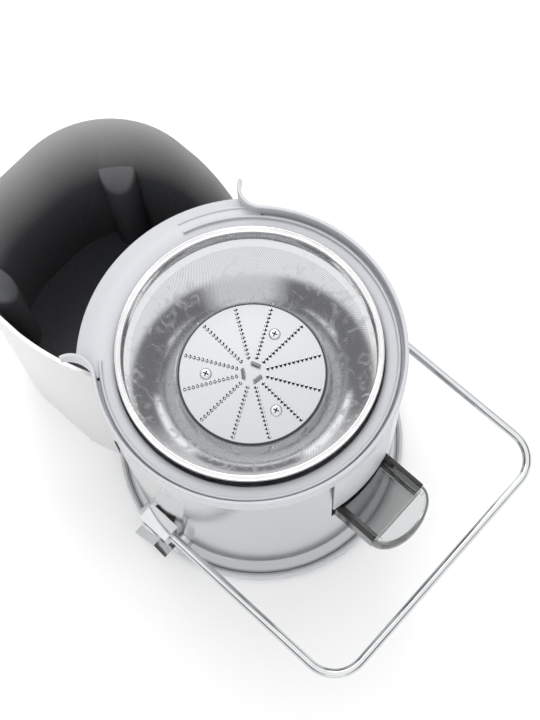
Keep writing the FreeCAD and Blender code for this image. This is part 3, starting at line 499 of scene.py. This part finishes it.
for side, end in ((-1, corners + loop), (1, ring["geom_last"])):
    middle = Vector(
        (-wing_place * cos(radians(wing_turn)), side * wing_place * sin(radians(wing_turn)), 0),
    ) * mm
    height = lip_top - seat
    for step in range(1, wing_steps + 1):
        turned = bmesh.ops.spin(
            lip, geom=end, cent=middle, axis=(0, 0, 1), angle=-side * radians(wing_sweep / wing_steps),
            steps=1,
        )
        end = turned["geom_last"]
        verts = [part for part in end if isinstance(part, bmesh.types.BMVert)]
        # A wing soon reaches its full depth, then thins and dips towards its tip.
        gone = step / wing_steps
        wanted = (lip_top - wing_low) * min(1, wing_start + step * wing_growth) - wing_tip * gone ** 3
        anchor = lip_top - wing_dip * gone ** 2
        bmesh.ops.scale(
            lip, vec=(1, 1, wanted / height), verts=verts, space=Matrix.Translation((0, 0, -anchor * mm)),
        )
        height = wanted
bowl_shells.append(lip)
piece(
    "filter_bowl_moulding", bowl_shells, [moulded_abs], "bowl", "bowl_plastic", "filter_bowl", edge=0.35,
    smooth=40,
)


# Juice spout: a channel moulded in smoke grey transparent plastic, with a ledge along each wall for the
# hood. Its inner end follows the bowl's round wall.
# Smoke transparent SAN: light passes the thin floor but not the deep walls, which look black from above.
smoke_san = give_grain(
    new_finish("moulded_smoke_clear_san", "f2f4f4", 0.06, IOR=1.56, Transmission_Weight=1.0),
    6, 0.004, 0.03, 0.08,
)
smoke_depth = add(
    smoke_san.node_tree, "ShaderNodeVolumeAbsorption", {"Color": colour("3a3c3e"), "Density": 450},
)
smoke_san.node_tree.links.new(
    smoke_depth.outputs["Volume"], smoke_san.node_tree.nodes["Material Output"].inputs["Volume"],
)
spout_end, spout_low, spout_top = reach("juice_spout")
spout_half = 24
spout_wall = 3
ledge_top = spout_top - 5
ledge_half = 17.8
channel_half = spout_half - spout_wall
channel_floor = spout_low + 2.5
section = [
    (-spout_half, spout_low), (spout_half, spout_low), (spout_half, spout_top), (channel_half, spout_top),
    (channel_half, ledge_top), (ledge_half, ledge_top), (ledge_half, channel_floor),
    (-ledge_half, channel_floor), (-ledge_half, ledge_top), (-channel_half, ledge_top),
    (-channel_half, spout_top), (-spout_half, spout_top),
]
channel = bmesh.new()
face = channel.faces.new([channel.verts.new(Vector((spout_end, y, z)) * mm) for y, z in section])
inner = bmesh.ops.extrude_face_region(channel, geom=[face], use_keep_orig=True)
for vert in (part for part in inner["geom"] if isinstance(part, bmesh.types.BMVert)):
    vert.co.x = sqrt((bowl_radius + 0.05) ** 2 - (vert.co.y / mm) ** 2) * mm
piece("juice_spout_channel", [channel], [smoke_san], "bowl", "smoke_clear", "juice_spout", edge=0.5)


# Spout hood: a half oval cap moulded in clear plastic, open below and towards the spout, on two sliding
# rails.
# Clear SAN: nearly invisible when looked through, with dark lines where its walls are seen edge on.
clear_san = give_grain(
    new_finish("moulded_clear_san", "fbfdfd", 0.03, IOR=1.56, Transmission_Weight=1.0), 8, 0.003, 0.02, 0.05,
)
clear_depth = add(
    clear_san.node_tree, "ShaderNodeVolumeAbsorption", {"Color": colour("cbcdcd"), "Density": 330},
)
clear_san.node_tree.links.new(
    clear_depth.outputs["Volume"], clear_san.node_tree.nodes["Material Output"].inputs["Volume"],
)
hood_end, hood_low, hood_top = reach("spout_hood")
hood_back = spout_end + 0.3
hood_half = 23.4
hood_wall = 1.8
hood_steps = 24


def half_oval(shell, inset, height):
    """Points of the hood's half oval plan at one height, from one back corner round to the other."""
    turns = [radians(-90 + 180 * i / hood_steps) for i in range(hood_steps + 1)]
    return [shell.verts.new(Vector((
        hood_back + (hood_end - hood_back - inset) * cos(turn), (hood_half - inset) * sin(turn), height,
    )) * mm) for turn in turns]


hood = bmesh.new()
rounding = 1.6
rows = [
    half_oval(hood, 0, hood_low), half_oval(hood, 0, hood_top - rounding),
    half_oval(hood, rounding * 0.3, hood_top - rounding * 0.3), half_oval(hood, rounding, hood_top),
]
inner_rows = [
    half_oval(hood, hood_wall + 1, hood_top - hood_wall),
    half_oval(hood, hood_wall, hood_top - hood_wall - 1),
    half_oval(hood, hood_wall, hood_low),
]
stack = rows + inner_rows
for lower, upper in ((0, 1), (1, 2), (2, 3), (4, 5), (5, 6), (6, 0)):
    for i in range(hood_steps):
        hood.faces.new((stack[lower][i], stack[lower][i + 1], stack[upper][i + 1], stack[upper][i]))
hood.faces.new(rows[3])
hood.faces.new(inner_rows[0])
for corner in (0, hood_steps):
    hood.faces.new([row[corner] for row in stack])
hood.faces.new([rows[3][0], rows[3][-1], inner_rows[0][-1], inner_rows[0][0]])
rail_run = 21
rail_lap = 3
rail_wide = 2.4
rail_high = 3.2
rail_gap = 0.3
rail_start = spout_end - rail_run
rail_end = hood_back + rail_lap
rail_out = channel_half - rail_gap
rails = []
for side in (-1, 1):
    rail = bmesh.new()
    bmesh.ops.create_cube(rail, size=mm)
    bmesh.ops.scale(rail, vec=(rail_end - rail_start, rail_wide, rail_high), verts=rail.verts)
    bmesh.ops.translate(rail, vec=Vector((
        (rail_end + rail_start) / 2, side * (rail_out - rail_wide / 2), ledge_top + rail_gap + rail_high / 2,
    )) * mm, verts=rail.verts)
    rails.append(rail)
piece("hood_cap", [hood, *rails], [clear_san], "hood", "clear_plastic", "spout_hood", smooth=40)

# Basket rim and collar: pressed from stainless sheet and mirror polished. A groove runs round the top
# between two rolled beads.
# Mirror polished stainless: near perfect reflections with faint swirls left by the polishing wheel.
mirror_sheet = give_grain(
    new_finish("mirror_polished_stainless", "e8e8e8", 0.04, 1.0), 9, 0.002, 0.02, 0.07, (1, 1, 8),
    ("e4e4e4", "ececec"),
)
_, collar_low, _ = reach("basket_collar")
rim_radius, rim_low, rim_top = reach("basket_rim")
rim_bore = 75
piece("basket_rim_bead", [lathe([
    (rim_bore, rim_low + 0.1), (rim_radius - 0.9, rim_low + 0.1), (rim_radius - 0.25, rim_low + 0.6),
    (rim_radius, rim_low + 1.6), (rim_radius, rim_top - 1.0), (rim_radius - 0.15, rim_top - 0.45),
    (rim_radius - 0.4, rim_top - 0.1), (rim_radius - 0.7, rim_top), (rim_radius - 0.95, rim_top - 0.15),
    (rim_radius - 1.1, rim_top - 0.4), (rim_radius - 1.9, rim_top - 1.5), (rim_bore + 1.3, rim_top - 0.65),
    (rim_bore + 1.1, rim_top - 0.45), (rim_bore + 0.8, rim_top - 0.35), (rim_bore + 0.4, rim_top - 0.55),
    (rim_bore + 0.1, rim_top - 1.1), (rim_bore, rim_top - 1.8),
], steps=180)], [mirror_sheet], "basket", "mirror_steel", "basket_rim", smooth=60)
piece("basket_collar_band", [lathe([
    (rim_bore + 0.9, collar_low), (rim_bore + 1.2, collar_low + 0.4), (rim_bore + 1.2, rim_low),
    (rim_bore, rim_low), (rim_bore, collar_low + 1.4), (rim_bore - 0.15, collar_low + 0.9),
    (rim_bore, collar_low + 0.4),
], steps=180)], [mirror_sheet], "basket", "mirror_steel", "basket_collar", smooth=60)

# Mesh cone: stainless foil with thousands of etched holes, rolled to a cone and welded under the collar.
# Its foot sits on the basket's moulded base.
# Micro perforated stainless foil: its holes stand in slanted columns, which are too fine to show one by one.
# Real columns are 0.5 mm apart, and they are drawn as stripes 1.0 mm apart. Wiped streaks run across them.
mesh_foil = new_finish("etched_micro_mesh_foil", "d2d3d4", 0.14, 0.8)
ripple_long = 9
ripple_deep = 0.003
streak_long = 6
hole_pitch = 1.0
hole_slant = 0.55
cone_middle = 61
plain_band = 184.6
foot_band = 157.6
foil = mesh_foil.node_tree
shader = foil.nodes["Principled BSDF"]
spot = add(foil, "ShaderNodeTexCoord").outputs["Object"]
drawn = add(foil, "ShaderNodeMapping", {"Scale": (1, 1, 0.25)}, {"Vector": spot}).outputs["Vector"]
ripple = add(
    foil, "ShaderNodeTexNoise", {"Scale": 1 / (ripple_long * mm), "Detail": 3}, {"Vector": drawn},
).outputs[0]
rippled = add(
    foil, "ShaderNodeBump", {"Distance": ripple_deep * mm, "Strength": 0.6}, {"Height": ripple},
).outputs[0]
foil.links.new(rippled, shader.inputs["Normal"])
place = add(foil, "ShaderNodeSeparateXYZ", links={0: spot})
turn = add(foil, "ShaderNodeMath", {"operation": "ARCTAN2"}, {0: place.outputs["Y"], 1: place.outputs["X"]})
round_cone = add(
    foil, "ShaderNodeMath", {"operation": "MULTIPLY", 1: cone_middle / hole_pitch}, {0: turn.outputs[0]},
)
column = add(
    foil, "ShaderNodeMath", {"operation": "MULTIPLY_ADD", 1: hole_slant / (hole_pitch * mm)},
    {0: place.outputs["Z"], 2: round_cone.outputs[0]},
)
stripe = add(foil, "ShaderNodeMath", {"operation": "PINGPONG", 1: 0.5}, {0: column.outputs[0]})
low_band = add(
    foil, "ShaderNodeMath", {"operation": "GREATER_THAN", 1: foot_band * mm}, {0: place.outputs["Z"]},
)
high_band = add(
    foil, "ShaderNodeMath", {"operation": "LESS_THAN", 1: plain_band * mm}, {0: place.outputs["Z"]},
)
between = add(
    foil, "ShaderNodeMath", {"operation": "MULTIPLY"}, {0: low_band.outputs[0], 1: high_band.outputs[0]},
)
etched = add(foil, "ShaderNodeMath", {"operation": "MULTIPLY"}, {0: stripe.outputs[0], 1: between.outputs[0]})
tone = add(foil, "ShaderNodeValToRGB", links={"Fac": etched.outputs[0]})
for stop, position, code in zip(tone.color_ramp.elements, (0.1, 0.5), ("cbccce", "a6a7aa")):
    stop.position = position
    stop.color = colour(code)
foil.links.new(tone.outputs["Color"], shader.inputs["Base Color"])
slanted = add(
    foil, "ShaderNodeMapping", {"Scale": (1, 1, 0.18), "Rotation": (0.5, 0.2, 0)}, {"Vector": spot},
)
streaks = add(
    foil, "ShaderNodeTexNoise", {"Scale": 1 / (streak_long * mm), "Detail": 0, "Distortion": 1.4},
    {"Vector": slanted.outputs["Vector"]},
)
wiped = add(
    foil, "ShaderNodeMapRange", {"From Min": 0.5, "From Max": 0.75, "To Min": 0.12, "To Max": 0.28},
    {"Value": streaks.outputs[0]},
)
foil.links.new(wiped.outputs[0], shader.inputs["Roughness"])
_, mesh_low, mesh_top = reach("mesh_cone")
foil_foot = 46.9
foil_head = 75.9
foil_wall = 0.9
piece("mesh_cone_foil", [lathe([
    (foil_foot - foil_wall, mesh_low), (foil_foot, mesh_low), (foil_head, mesh_top),
    (foil_head - foil_wall, mesh_top),
], steps=180)], [mesh_foil], "basket", "mesh_steel", "mesh_cone", smooth=50)

# Basket base: a charcoal moulded pan with a hexagonal hub, which the cone's foot sits on. It keeps its CAD
# shape.
coat(black_abs, "basket_base")

# Grating disc: blanked from stainless sheet, with twelve rows of thirteen punched teeth. Each tooth is
# half a small crater, raised behind a three-cornered hole, and all of them face one way round.
# Satin stainless: a fine random grain that spreads highlights evenly.
satin_steel = give_grain(
    new_finish("satin_stainless_sheet", "a9abad", 0.36, 0.92), 0.7, 0.006, 0.3, 0.42,
    tones=("a5a7aa", "afb0b2"),
)
# Painted shade: a flat dark colour for the opening in front of each tooth and the screws' cross recesses.
hole_painted_shade = give_grain(
    new_finish("punched_hole_shade", "1c1d1f", 0.7, 0.4), 0.4, 0.02, 0.6, 0.8, tones=("161719", "2c2d2f"),
)
# Punched steel: the punch smooths the teeth, and their lighter colour than the disc is painted highlight.
teeth_painted_highlight = give_grain(
    new_finish("punched_steel_painted_highlight", "e6e7e8", 0.26, 1.0), 0.6, 0.004, 0.2, 0.32,
    tones=("e0e1e2", "ecedee"),
)
disc_radius, disc_low, teeth_top = reach("grating_disc")
disc_top = disc_low + 1.3
tooth_first = 9.9
tooth_pitch = 2.72
tooth_rows = 12
tooth_count = 13
rows_turn = -3
tooth_radius = 1.15
tooth_tip = 0.42
tooth_high = teeth_top - disc_top
mouth_long = 1.7
mouth_lift = 0.04
teeth = bmesh.new()
for row in range(tooth_rows):
    turn = radians(row * 360 / tooth_rows + rows_turn)
    for i in range(tooth_count):
        place = Matrix.Rotation(turn, 4, "Z") @ Matrix.Translation(
            Vector((tooth_first + i * tooth_pitch, 0, disc_top)) * mm,
        )
        tooth = bmesh.new()
        bmesh.ops.create_cone(
            tooth, cap_ends=True, segments=10, radius1=tooth_radius * mm, radius2=tooth_tip * mm,
            depth=tooth_high * mm,
        )
        bmesh.ops.translate(tooth, vec=(0, 0, tooth_high / 2 * mm), verts=tooth.verts)
        bmesh.ops.bisect_plane(
            tooth, geom=tooth.verts[:] + tooth.edges[:] + tooth.faces[:], plane_co=(0, 0, 0),
            plane_no=(0, -1, 0),
            clear_outer=True,
        )
        # The cut face of each half crater is given the painted shade of the opening.
        shaded_mouth = bmesh.ops.holes_fill(tooth, edges=[line for line in tooth.edges if line.is_boundary])
        for face in shaded_mouth["faces"]:
            face.material_index = 1
        # Painted shade: a flat dark triangle on the disc stands for the hole in front of the tooth.
        shade_triangle = [tooth.verts.new(Vector(corner) * mm) for corner in (
            (-tooth_radius, 0, mouth_lift), (0, -mouth_long, mouth_lift), (tooth_radius, 0, mouth_lift),
        )]
        tooth.faces.new(shade_triangle).material_index = 1
        bmesh.ops.transform(tooth, matrix=place, verts=tooth.verts)
        punched = bpy.data.meshes.new("tooth")
        tooth.to_mesh(punched)
        tooth.free()
        teeth.from_mesh(punched)
        bpy.data.meshes.remove(punched)
disc = lathe([
    (0, disc_low), (disc_radius, disc_low), (disc_radius, disc_top - 0.3), (disc_radius - 0.3, disc_top),
    (0, disc_top),
])
piece("grating_disc_plate", [disc], [satin_steel], "basket", "brushed_steel", "grating_disc")
row_mesh = bpy.data.meshes.new("grating_teeth")
bmesh.ops.recalc_face_normals(teeth, faces=teeth.faces)
# The three-cornered holes of painted shade are single flat faces, so they are turned to face up.
for face in teeth.faces:
    if len(face.verts) == 3 and face.material_index == 1 and face.normal.z < 0:
        face.normal_flip()
teeth.to_mesh(row_mesh)
teeth.free()
row_mesh.materials.append(teeth_painted_highlight)
row_mesh.materials.append(hole_painted_shade)
rows_of_teeth = bpy.data.objects.new("grating_teeth", row_mesh)
scene.collection.objects.link(rows_of_teeth)
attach(rows_of_teeth, "basket")

# Disc screws: three pan head screws of bright zinc plated steel, each with a cross recess. They stand
# on the disc, evenly spaced round it.
screw_ring = 28.5
screw_turn = 103.5
screw_head = 3.7
screw_rise = 0.9
recess_long = 1.9
recess_half = 0.42
recess_deep = 0.7
recess_turn = 20
head_sides = 24
screws = []
for i in range(3):
    turn = radians(screw_turn + 120 * i)
    head = bmesh.new()
    head_outline = [
        (screw_head, 0.02), (screw_head, 0.3), (screw_head - 0.35, 0.65), (screw_head - 0.9, screw_rise),
    ]
    turns = [radians(360 / head_sides * k) for k in range(head_sides)]
    rings = [[
        head.verts.new(Vector((radius * cos(angle), radius * sin(angle), height)) * mm) for angle in turns
    ] for radius, height in head_outline]
    for lower, upper in zip(rings, rings[1:]):
        for k in range(head_sides):
            after = (k + 1) % head_sides
            head.faces.new((lower[k], lower[after], upper[after], upper[k]))
    quarter = [(recess_long, -recess_half), (recess_long, recess_half), (recess_half, recess_half)]
    cross = []
    for k in range(4):
        spin = Matrix.Rotation(radians(90 * k + recess_turn), 3, "Z")
        cross += [head.verts.new(spin @ Vector((x, y, screw_rise)) * mm) for x, y in quarter]
    lines = [head.edges.new((one, other)) for one, other in zip(cross, cross[1:] + cross[:1])]
    rim_lines = [
        head.edges.get((rings[-1][k], rings[-1][(k + 1) % head_sides])) for k in range(head_sides)
    ]
    bmesh.ops.triangle_fill(head, use_beauty=True, edges=lines + rim_lines)
    sunk = bmesh.ops.extrude_edge_only(head, edges=lines)["geom"]
    sunk_verts = [part for part in sunk if isinstance(part, bmesh.types.BMVert)]
    bmesh.ops.translate(head, vec=(0, 0, -recess_deep * mm), verts=sunk_verts)
    floor_lines = [part for part in sunk if isinstance(part, bmesh.types.BMEdge)]
    bmesh.ops.holes_fill(head, edges=floor_lines)
    # Painted shade: the faces inside the cross recess get the dark colour.
    for face in head.faces:
        centre = face.calc_center_median()
        if centre.z < (screw_rise - 0.2) * mm and centre.xy.length < recess_long * mm:
            face.material_index = 1
    bmesh.ops.translate(
        head, vec=Vector((screw_ring * cos(turn), screw_ring * sin(turn), disc_top)) * mm, verts=head.verts,
    )
    screws.append(head)
piece("disc_screw_heads", screws, [zinc, hole_painted_shade], "basket", "zinc_steel", "disc_screws", smooth=30)

# Centre blades: three tabs sheared from the disc and bent up round its middle, leaning inwards, to break
# the core of the fruit.
blade_ring = 5.6
blade_turn = 110
blade_wide = 6.2
blade_thick = 0.9
blade_lean = 38
blade_lap = 0.4
blade_top = reach("centre_blades")[2]
blades = []
for i in range(3):
    turn = radians(blade_turn + 120 * i)
    blade = bmesh.new()
    bmesh.ops.create_cube(blade, size=mm)
    bmesh.ops.scale(blade, vec=(blade_thick, blade_wide, blade_top - disc_top - blade_lap), verts=blade.verts)
    bmesh.ops.rotate(blade, matrix=Matrix.Rotation(radians(-blade_lean), 3, "Y"), verts=blade.verts)
    bmesh.ops.translate(
        blade, vec=Vector((blade_ring, 0, (blade_top + disc_top) / 2 - blade_lap / 2)) * mm,
        verts=blade.verts,
    )
    bmesh.ops.rotate(blade, matrix=Matrix.Rotation(turn, 3, "Z"), verts=blade.verts)
    blades.append(blade)
piece("centre_blade_tabs", blades, [satin_steel], "basket", "brushed_steel", "centre_blades", edge=0.15)


# Pulp container: a tall open box moulded in one piece, lacquered silver outside and left charcoal inside,
# with a finger hollow standing up in each back corner and a front that fits round the body.
def merged(node):
    """A copy of a CAD node's mesh with its loose triangles joined and its flat faces made whole."""
    shell = bmesh.new()
    shell.from_mesh(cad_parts[node].data)
    bmesh.ops.remove_doubles(shell, verts=shell.verts, dist=0.001 * mm)
    bmesh.ops.dissolve_limit(shell, angle_limit=radians(0.5), verts=shell.verts, edges=shell.edges)
    return shell


# Silver lacquer on ABS: pale and satin, with a very fine metallic sparkle.
silver_lacquer = give_grain(
    new_finish("silver_lacquered_abs", "dcdcdc", 0.35, 0.15, Coat_Weight=0.3), 0.35, 0.006, 0.3, 0.42,
    tones=("cbcbcb", "d5d5d5"),
)
# Charcoal ABS: bare moulding with a soft gloss. Its colour carries painted shade: the walls are pale at the
# top and darken towards the floor, standing in for the shade deep in the box.
charcoal_abs_painted_shade = give_grain(
    new_finish("moulded_charcoal_abs_painted_shade", "4a4b4e", 0.3, IOR=1.52), 1.4, 0.006, 0.26, 0.36,
)
box_top = reach("pulp_container")[2]
tree = charcoal_abs_painted_shade.node_tree
depth = add(
    tree, "ShaderNodeSeparateXYZ", links={0: add(tree, "ShaderNodeTexCoord").outputs["Object"]},
).outputs["Z"]
down = add(
    tree, "ShaderNodeMapRange", {"From Min": 0.0, "From Max": box_top * mm}, {"Value": depth},
).outputs[0]
# Painted shade: dark at the floor of the box, pale at its rim.
painted_shade_ramp = add(tree, "ShaderNodeValToRGB", links={"Fac": down})
painted_shade_ramp.color_ramp.elements.new(0.5)
for stop, (place, code) in zip(painted_shade_ramp.color_ramp.elements, ((0.0, "2e3035"), (0.5, "5c5d60"), (1.0, "ececed"))):
    stop.position = place
    stop.color = colour(code)
tree.links.new(painted_shade_ramp.outputs["Color"], tree.nodes["Principled BSDF"].inputs["Base Color"])
container = merged("pulp_container")
container.faces.ensure_lookup_table()
box_wall = 2.5
box_half = 82
box_back = 207
front_radius = 93.3
foot_front = 102.5
foot_top = 34
corner_radius = 70
corner_x = -137
corner_y = 12
side_radius = 173
side_flare = 3.5
side_x = -130
side_y = 90.7
far = 99
grip_x = -186
grip_y = 58.5
grip_reach = 11.2
grip_top = 106
grip_round = 2.2


def from_grip(point):
    """How far a point is, seen from above, from the middle of the finger hollow on its side."""
    return sqrt((point.x - grip_x) ** 2 + (abs(point.y) - grip_y) ** 2)


# A face is charcoal where it lies further in than most of the wall, measured from every outside surface.
for face in container.faces:
    x, y, z = face.calc_center_median() / mm
    flare = side_flare * (1 - z / box_top)
    front = front_radius if z > foot_top else foot_front
    in_corner = x < corner_x and abs(y) > corner_y
    deep = min(
        side_radius + flare - sqrt((x - side_x) ** 2 + (abs(y) + side_y) ** 2), box_half - abs(y),
        x + box_back, z, sqrt(x * x + y * y) - front,
        corner_radius - sqrt((x - corner_x) ** 2 + (abs(y) - corner_y) ** 2) if in_corner else far,
    )
    face.material_index = 1 if deep > box_wall - 0.6 and z > 1 else 0
for face in container.faces:
    middle = face.calc_center_median() / mm
    if from_grip(middle) < grip_reach and middle.z < grip_top and face.normal.z < 0.3:
        face.material_index = 0
# The charcoal tops of the finger hollows have well rounded edges.
grip_lines = []
for line in container.edges:
    middle = (line.verts[0].co + line.verts[1].co) / 2 / mm
    near_top = from_grip(middle) < 20 and 60 < middle.z < 110
    if near_top and line.is_convex and line.calc_face_angle(0) > radians(30):
        if all(face.material_index == 1 for face in line.link_faces):
            grip_lines.append(line)
bmesh.ops.bevel(
    container, geom=grip_lines, offset=grip_round * mm, offset_type="OFFSET", segments=4, profile=0.5,
    affect="EDGES", clamp_overlap=False, material=-1,
)
piece(
    "pulp_container_box", [container], [silver_lacquer, charcoal_abs_painted_shade], "container", "silver_plastic",
    "pulp_container", edge=0.5, smooth=30,
)

# Locking arm: a chromed steel rod bent round the spout, held by a chromed block at each end that turns on
# a pin.
# Bright chrome plate: mirror reflections with a faint ripple.
chrome_plate = give_grain(
    new_finish("bright_chrome_plate", "c6c8ca", 0.04, 1.0), 14, 0.003, 0.02, 0.06, tones=("c2c4c6", "cacccd"),
)
rod_radius = 3
rod_height = 82
rod_side = 100
rod_end = 160
rod_bend = 22
block_end = 18
rod_gap = 0.02
rod_run = rod_end - rod_bend - block_end - rod_gap
rod = bmesh.new()
bmesh.ops.create_circle(rod, segments=20, radius=rod_radius * mm)
bmesh.ops.rotate(rod, matrix=Matrix.Rotation(radians(90), 3, "Y"), verts=rod.verts)
bmesh.ops.translate(rod, vec=Vector((block_end + rod_gap, -rod_side, rod_height)) * mm, verts=rod.verts)
end = rod.verts[:] + rod.edges[:]
for run, about, bend in (
    ((rod_run, 0, 0), (rod_end - rod_bend, rod_bend - rod_side), 90),
    ((0, 2 * (rod_side - rod_bend), 0), (rod_end - rod_bend, rod_side - rod_bend), 90),
    ((-rod_run, 0, 0), None, 0),
):
    end = bmesh.ops.extrude_edge_only(
        rod, edges=[part for part in end if isinstance(part, bmesh.types.BMEdge)],
    )["geom"]
    bmesh.ops.translate(
        rod, vec=Vector(run) * mm, verts=[part for part in end if isinstance(part, bmesh.types.BMVert)],
    )
    if about:
        end = [part for part in end if not isinstance(part, bmesh.types.BMFace)]
        end = bmesh.ops.spin(
            rod, geom=end, cent=Vector((*about, rod_height)) * mm, axis=(0, 0, 1), angle=radians(bend),
            steps=14,
        )["geom_last"]
piece("locking_arm_rod", [rod], [chrome_plate], "arm", "chrome", "locking_arm", smooth=50)
for end_name, side in (("front", -1), ("back", 1)):
    block = merged(f"arm_block_{end_name}")
    piece(
        f"arm_block_{end_name}_casting", [block], [chrome_plate], "arm", "chrome", f"arm_block_{end_name}",
        edge=1.2,
    )
    pin = merged(f"pivot_pin_{end_name}")
    piece(
        f"pivot_pin_{end_name}_cap", [pin], [chrome_plate], "arm", "chrome", f"pivot_pin_{end_name}",
        edge=0.5,
    )

# Control knob: a chromed dial and bar in a polished ring. The bar's corners are well rounded for the
# fingers, and its stem goes through the body into the rotary switch.
piece(
    "knob_bezel_ring", [merged("knob_bezel")], [polished_sheet], "base", "polished_steel", "knob_bezel",
    edge=0.6,
)
piece(
    "control_knob_bar", [merged("control_knob")], [chrome_plate], "knob", "chrome", "control_knob", edge=1.3,
)
